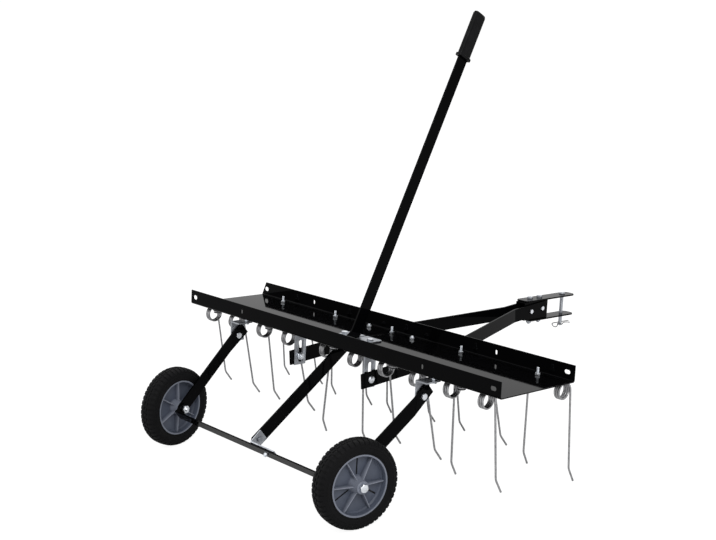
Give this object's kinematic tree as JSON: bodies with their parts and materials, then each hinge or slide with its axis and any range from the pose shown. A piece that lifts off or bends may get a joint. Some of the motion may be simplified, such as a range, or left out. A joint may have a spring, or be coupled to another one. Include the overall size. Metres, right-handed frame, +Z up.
{
  "type": "tow-behind dethatcher",
  "caption": "Tow-behind dethatcher: weight tray over two rows of double spring tines, hinged drawbar with pin hitch, and a lever that swings two wheels.",
  "frame": {"origin": "middle of the underside of the box round the machine, on the ground it stands on with its wheels and front tine points", "axes": "+X to the right seen from behind, +Y forward to the hitch, +Z up"},
  "size_m": [1.02, 1.1504, 0.9298],
  "materials": {
    "black_coat": "gloss black powder coat",
    "zinc": "bright zinc plate",
    "spring_steel": "bare oiled spring wire",
    "spring_wire": "plated spring wire",
    "tyre": "moulded black tyre",
    "rim": "blue-grey moulded plastic",
    "grip": "black moulded grip"
  },
  "bodies": {
    "tray": {"deck": "black_coat", "tine_rear_1": "spring_steel", "tine_rear_2": "spring_steel", "tine_rear_3": "spring_steel", "tine_rear_4": "spring_steel", "tine_rear_5": "spring_steel", "tine_front_1": "spring_steel", "tine_front_2": "spring_steel", "tine_front_3": "spring_steel", "tine_front_4": "spring_steel", "tine_front_5": "spring_steel", "tine_bolt_rear_1": "zinc", "tine_bolt_rear_2": "zinc", "tine_bolt_rear_3": "zinc", "tine_bolt_rear_4": "zinc", "tine_bolt_rear_5": "zinc", "tine_bolt_front_1": "zinc", "tine_bolt_front_2": "zinc", "tine_bolt_front_3": "zinc", "tine_bolt_front_4": "zinc", "tine_bolt_front_5": "zinc", "arm_bracket_left": "zinc", "arm_bracket_right": "zinc", "arm_bracket_bolt_left": "zinc", "arm_bracket_bolt_right": "zinc", "arm_pivot_bolt_left": "zinc", "arm_pivot_bolt_right": "zinc", "hanger_left": "zinc", "hanger_right": "zinc", "tow_pivot_left": "zinc", "tow_pivot_right": "zinc", "tow_pivot_bolt_left": "zinc", "tow_pivot_bolt_right": "zinc", "lever_guide": "zinc"},
    "lift_frame": {"arm_left": "black_coat", "arm_right": "black_coat", "wheel_bolt_left": "zinc", "wheel_bolt_right": "zinc", "axle_bar": "black_coat", "lift_lever": "black_coat", "grip": "grip", "lever_foot_bracket": "zinc", "lever_foot_bolt": "zinc"},
    "wheel_left": {"tyre_left": "tyre", "rim_left": "rim"},
    "wheel_right": {"tyre_right": "tyre", "rim_right": "rim"},
    "drawbar": {"tow_bar_left": "black_coat", "tow_bar_right": "black_coat", "hanger_bolt_left": "zinc", "hanger_bolt_right": "zinc", "hitch_bracket": "black_coat", "hitch_top_plate": "black_coat", "hitch_bottom_plate": "black_coat", "hitch_upright_bolt_rear": "zinc", "hitch_upright_bolt_front": "zinc", "hitch_cross_bolt_rear": "zinc", "hitch_cross_bolt_front": "zinc"},
    "pin": {"hitch_pin": "zinc", "r_clip": "spring_wire"}
  },
  "joints": [
    {"name": "lift_swing", "type": "hinge", "parent": "tray", "child": "lift_frame", "pos_m": [0, -0.29279, 0.21216], "axis": [-1, 0, 0], "range_deg": [0, 25]},
    {"name": "wheel_left_spin", "type": "hinge", "parent": "lift_frame", "child": "wheel_left", "pos_m": [-0.311, -0.48517, 0.0902], "axis": [0.986, 0.1653, -0.0221], "continuous": true},
    {"name": "wheel_right_spin", "type": "hinge", "parent": "lift_frame", "child": "wheel_right", "pos_m": [0.311, -0.48517, 0.0902], "axis": [0.986, -0.1653, 0.0221], "continuous": true},
    {"name": "drawbar_angle", "type": "hinge", "parent": "tray", "child": "drawbar", "pos_m": [0, -0.10138, 0.18744], "axis": [1, 0, 0], "range_deg": [-10.75, 2.25]},
    {"name": "pin_lift", "type": "slide", "parent": "drawbar", "child": "pin", "axis": [0, 0.1327, 0.9912], "range_m": [0, 0.01]}
  ]
}
